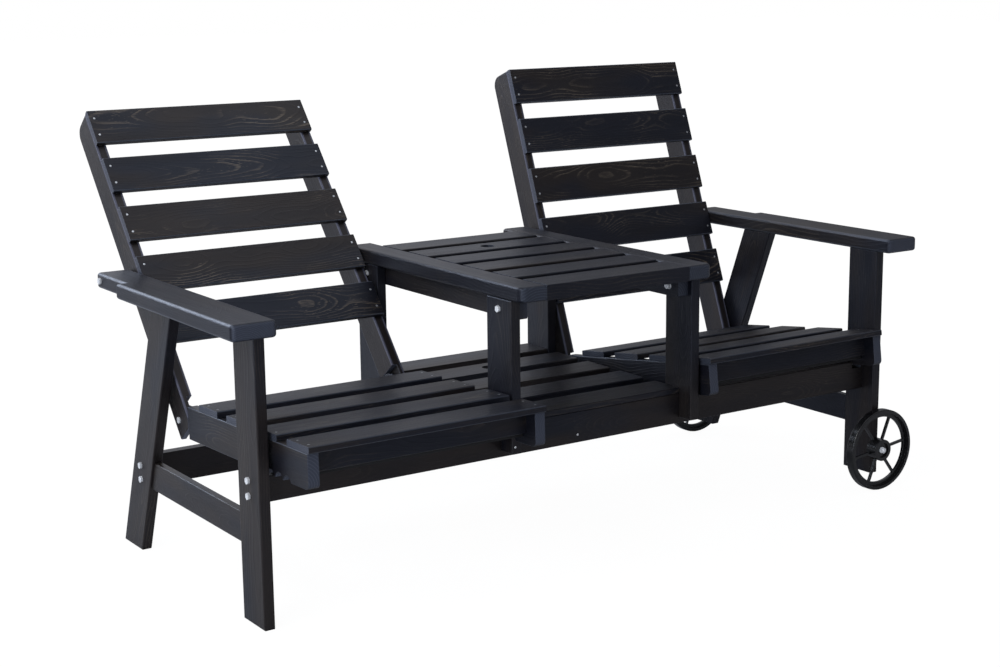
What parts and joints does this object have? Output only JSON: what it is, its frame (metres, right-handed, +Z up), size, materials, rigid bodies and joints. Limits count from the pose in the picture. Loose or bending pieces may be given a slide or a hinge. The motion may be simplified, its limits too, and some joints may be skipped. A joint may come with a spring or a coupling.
{
  "type": "companion bench",
  "caption": "Two reclining slatted garden seats on one dark timber frame, joined by a small slatted table with a parasol hole, a shelf below it and wheels at one end.",
  "frame": {"origin": "on the floor, under the middle of the whole bench's box", "axes": "+X along the bench from the legged end to the wheeled end, +Y towards the backs, +Z up"},
  "size_m": [1.8554, 1.0986, 1.0286],
  "materials": {
    "frame_timber": "black stained softwood, open grain",
    "slat_timber": "black stained softwood, open grain",
    "zinc_steel": "zinc plated",
    "wheel_plastic": "moulded, slightly worn"
  },
  "bodies": {
    "frame": {"apron_left": "frame_timber", "apron_right": "frame_timber", "arm_left": "frame_timber", "arm_right": "frame_timber", "axle_nuts": "zinc_steel", "axle_studs": "zinc_steel", "leg_bolts": "zinc_steel", "leg_front_left": "frame_timber", "leg_front_right": "frame_timber", "leg_rear_left": "frame_timber", "leg_rear_right": "frame_timber", "pivot_bolts": "zinc_steel", "pivot_nuts": "zinc_steel", "post_bolts": "zinc_steel", "post_front_left": "frame_timber", "post_front_right": "frame_timber", "post_nuts": "zinc_steel", "post_rear_left": "frame_timber", "post_rear_right": "frame_timber", "rail_front": "frame_timber", "rail_rear": "frame_timber", "shelf_bearer_left": "frame_timber", "shelf_bearer_right": "frame_timber", "shelf_slat_hole": "slat_timber", "shelf_slats": "slat_timber", "stretcher_left": "frame_timber", "stretcher_right": "frame_timber", "table_batten_left": "frame_timber", "table_batten_right": "frame_timber", "table_board_left": "frame_timber", "table_board_right": "frame_timber", "table_slat_hole": "slat_timber", "table_slats": "slat_timber"},
    "back_left": {"back_left_screws": "zinc_steel", "back_left_slats": "slat_timber", "back_left_stile_a": "frame_timber", "back_left_stile_b": "frame_timber"},
    "seat_left": {"seat_left_apron": "frame_timber", "seat_left_hinge_bolts": "zinc_steel", "seat_left_rail_a": "frame_timber", "seat_left_rail_b": "frame_timber", "seat_left_screws": "zinc_steel", "seat_left_slats": "slat_timber"},
    "back_right": {"back_right_screws": "zinc_steel", "back_right_slats": "slat_timber", "back_right_stile_a": "frame_timber", "back_right_stile_b": "frame_timber"},
    "seat_right": {"seat_right_apron": "frame_timber", "seat_right_hinge_bolts": "zinc_steel", "seat_right_rail_a": "frame_timber", "seat_right_rail_b": "frame_timber", "seat_right_screws": "zinc_steel", "seat_right_slats": "slat_timber"},
    "wheel_front": {"wheel_front": "wheel_plastic"},
    "wheel_rear": {"wheel_rear": "wheel_plastic"}
  },
  "joints": [
    {"name": "back_left_pivot", "type": "hinge", "parent": "frame", "child": "back_left", "pos_m": [-0.5545, 0.25804, 0.617], "axis": [1, 0, 0], "range_deg": [0, 19.1]},
    {"name": "seat_left_hinge", "type": "hinge", "parent": "back_left", "child": "seat_left", "pos_m": [-0.5545, 0.04902, 0.33321], "axis": [1, 0, 0], "range_deg": [-24.9, 0]},
    {"name": "back_right_pivot", "type": "hinge", "parent": "frame", "child": "back_right", "pos_m": [0.53, 0.25804, 0.617], "axis": [1, 0, 0], "range_deg": [-19.1, 0]},
    {"name": "seat_right_hinge", "type": "hinge", "parent": "back_right", "child": "seat_right", "pos_m": [0.53, 0.15339, 0.28043], "axis": [1, 0, 0], "range_deg": [0, 24.9]},
    {"name": "wheel_front_spin", "type": "hinge", "parent": "frame", "child": "wheel_front", "pos_m": [0.82575, -0.41696, 0.102], "axis": [0, 1, 0], "continuous": true},
    {"name": "wheel_rear_spin", "type": "hinge", "parent": "frame", "child": "wheel_rear", "pos_m": [0.82575, 0.28805, 0.102], "axis": [0, 1, 0], "continuous": true}
  ],
  "couplings": [
    {"joint": "seat_left_hinge", "follows": "back_left_pivot", "ratio": -1.3007},
    {"joint": "seat_right_hinge", "follows": "back_right_pivot", "ratio": -1.3007}
  ]
}
